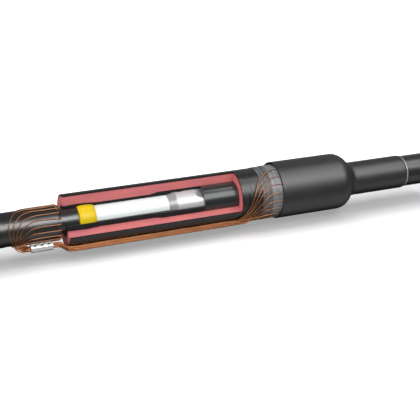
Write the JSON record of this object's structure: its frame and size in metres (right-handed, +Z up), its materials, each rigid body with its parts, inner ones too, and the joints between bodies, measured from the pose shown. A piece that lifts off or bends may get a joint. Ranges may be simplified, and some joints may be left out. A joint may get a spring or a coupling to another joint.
{
  "type": "cable joint",
  "caption": "In-line joint for a screened single-core power cable, cut open on one half to show its layers, connector and screen wires.",
  "frame": {"origin": "the joint's centre on the cable's axis, midway between the two jackets' cut ends", "axes": "+X along the cable towards the sleeved end, +Z up, -Y the side that is cut open"},
  "size_m": [0.58, 0.0638, 0.0638],
  "materials": {
    "copper": "satin",
    "wire_copper": "satin",
    "screen_black": "satin",
    "insulation": "matte",
    "mastic": "satin",
    "jacket": "satin",
    "connector": "satin",
    "bolts": "satin",
    "stress_tube": "satin",
    "red_body": "matte",
    "skin": "satin",
    "wrap": "ribbed",
    "ferrule": "satin",
    "sleeve": "satin",
    "sealant": "matte"
  },
  "bodies": {
    "root": {"left_conductor": "copper", "left_conductor_screen": "screen_black", "left_insulation": "insulation", "left_insulation_screen": "screen_black", "left_stress_mastic": "mastic", "left_screen_wires": "wire_copper", "left_jacket": "jacket", "right_conductor": "copper", "right_conductor_screen": "screen_black", "right_insulation": "insulation", "right_insulation_screen": "screen_black", "right_stress_mastic": "mastic", "right_screen_wires": "wire_copper", "right_jacket": "jacket", "connector_barrel": "connector", "shear_bolts": "bolts", "stress_control_tube": "stress_tube", "insulating_body": "red_body", "body_screen": "skin", "shield_wrap": "wrap", "crimp_ferrule": "ferrule", "left_wire_bundle": "copper", "right_wire_bundle": "copper", "outer_sleeve": "sleeve", "sleeve_sealant": "sealant"}
  },
  "joints": []
}
